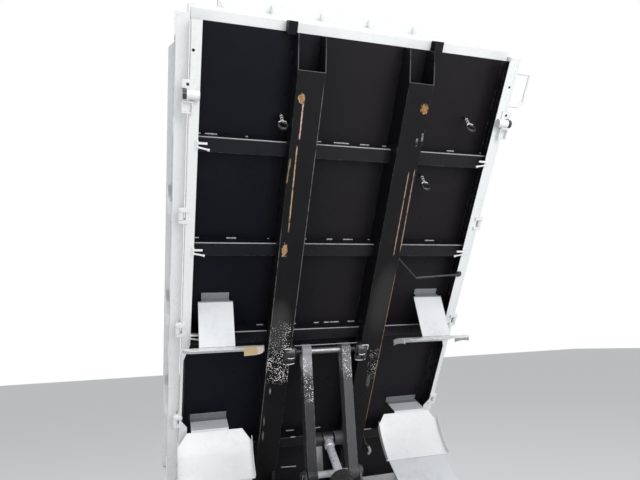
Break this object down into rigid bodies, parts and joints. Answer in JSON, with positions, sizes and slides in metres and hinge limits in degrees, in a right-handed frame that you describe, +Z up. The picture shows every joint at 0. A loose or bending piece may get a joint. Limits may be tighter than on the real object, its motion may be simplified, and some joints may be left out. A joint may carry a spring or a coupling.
{
  "type": "tipping truck bed with hoist",
  "caption": "Raised steel tipping truck bed with drop sides, tailgate, mudguards, subframe and a scissor-type lift arm hoist.",
  "frame": {"origin": "middle of the underside of the subframe's rear crossmember, below the tipping hinge", "axes": "+X forward along the truck, +Y to its left, +Z up"},
  "size_m": [3.6583, 2.076, 3.4028],
  "materials": {
    "white_paint": "gloss",
    "black_paint": "satin",
    "grey_paint": "satin",
    "steel": "satin",
    "chrome": "polished",
    "rubber": "matte",
    "hardwood": "matte"
  },
  "bodies": {
    "subframe": {"subframe_rail_left": "black_paint", "subframe_rail_right": "black_paint", "rest_strip_left": "hardwood", "rest_strip_right": "hardwood", "subframe_crossmembers": "black_paint", "hinge_brackets": "black_paint", "hinge_pins": "steel", "shear_plates": "black_paint", "link_bracket": "black_paint", "cylinder_bracket": "black_paint"},
    "bed": {"cross_bearers": "black_paint", "cross_tie": "black_paint", "floor_plate": "black_paint", "front_mudguard_left": "white_paint", "front_mudguard_right": "white_paint", "front_mudguard_stay_left": "grey_paint", "front_mudguard_stay_right": "grey_paint", "front_stop_left": "black_paint", "front_stop_right": "black_paint", "gate_hinge_lugs_left": "white_paint", "gate_hinge_lugs_right": "white_paint", "gate_keeper_left": "white_paint", "gate_keeper_right": "white_paint", "guard_frame": "white_paint", "hanging_hooks": "black_paint", "headboard": "white_paint", "hinge_ear_left": "black_paint", "hinge_ear_right": "black_paint", "hoist_shaft": "black_paint", "mud_flap_left": "rubber", "mud_flap_right": "rubber", "rear_mudguard_left": "white_paint", "rear_mudguard_right": "white_paint", "rear_mudguard_stay_left": "grey_paint", "rear_mudguard_stay_right": "grey_paint", "rear_post_left": "white_paint", "rear_post_right": "white_paint", "rope_hooks": "white_paint", "side_rail_left": "white_paint", "side_rail_right": "white_paint", "sill_left": "black_paint", "sill_right": "black_paint", "tail_beam": "white_paint", "tailgate_catches": "white_paint"},
    "gate_left": {"side_gate_left": "white_paint", "gate_handle_left": "white_paint"},
    "gate_right": {"side_gate_right": "white_paint"},
    "tailgate": {"tailgate": "white_paint"},
    "lift_arms": {"lift_arms": "black_paint"},
    "tension_link": {"tension_link": "black_paint"},
    "cylinder_barrel": {"cylinder_barrel": "black_paint"},
    "cylinder_rod": {"cylinder_rod": "chrome"}
  },
  "joints": [
    {"name": "bed_tilt", "type": "hinge", "parent": "subframe", "child": "bed", "pos_m": [0, 0, 0.095], "axis": [0, -1, 0], "range_deg": [-55, 0]},
    {"name": "gate_left_swing", "type": "hinge", "parent": "bed", "child": "gate_left", "pos_m": [-0.11714, 0.925, 0.17702], "axis": [-0.5736, 0, -0.8192], "range_deg": [0, 145]},
    {"name": "gate_right_swing", "type": "hinge", "parent": "bed", "child": "gate_right", "pos_m": [-0.11714, -0.925, 0.17702], "axis": [0.5736, 0, 0.8192], "range_deg": [0, 145]},
    {"name": "tailgate_swing", "type": "hinge", "parent": "bed", "child": "tailgate", "pos_m": [-0.69026, 0, 0.25116], "axis": [0, 1, 0], "range_deg": [0, 75]},
    {"name": "lift_arm_turn", "type": "hinge", "parent": "bed", "child": "lift_arms", "pos_m": [0.55001, 0, 1.08447], "axis": [0, -1, 0], "range_deg": [-27.3, 0.1]},
    {"name": "tension_link_turn", "type": "hinge", "parent": "subframe", "child": "tension_link", "pos_m": [0.68382, 0, 0.072], "axis": [0, -1, 0], "range_deg": [-0.1, 60]},
    {"name": "cylinder_turn", "type": "hinge", "parent": "subframe", "child": "cylinder_barrel", "pos_m": [1.074, 0, 0.09], "axis": [0, -1, 0], "range_deg": [-0.1, 25.8]},
    {"name": "rod_slide", "type": "slide", "parent": "cylinder_barrel", "child": "cylinder_rod", "axis": [-0.7957, 0, 0.6056], "range_m": [-0.2184, 0.0005]}
  ],
  "couplings": [
    {"joint": "lift_arm_turn", "follows": "bed_tilt", "ratio": 0.49304},
    {"joint": "tension_link_turn", "follows": "bed_tilt", "ratio": -1.0865},
    {"joint": "cylinder_turn", "follows": "bed_tilt", "ratio": -0.46637},
    {"joint": "rod_slide", "follows": "bed_tilt", "m_per_rad": 0.22695}
  ]
}
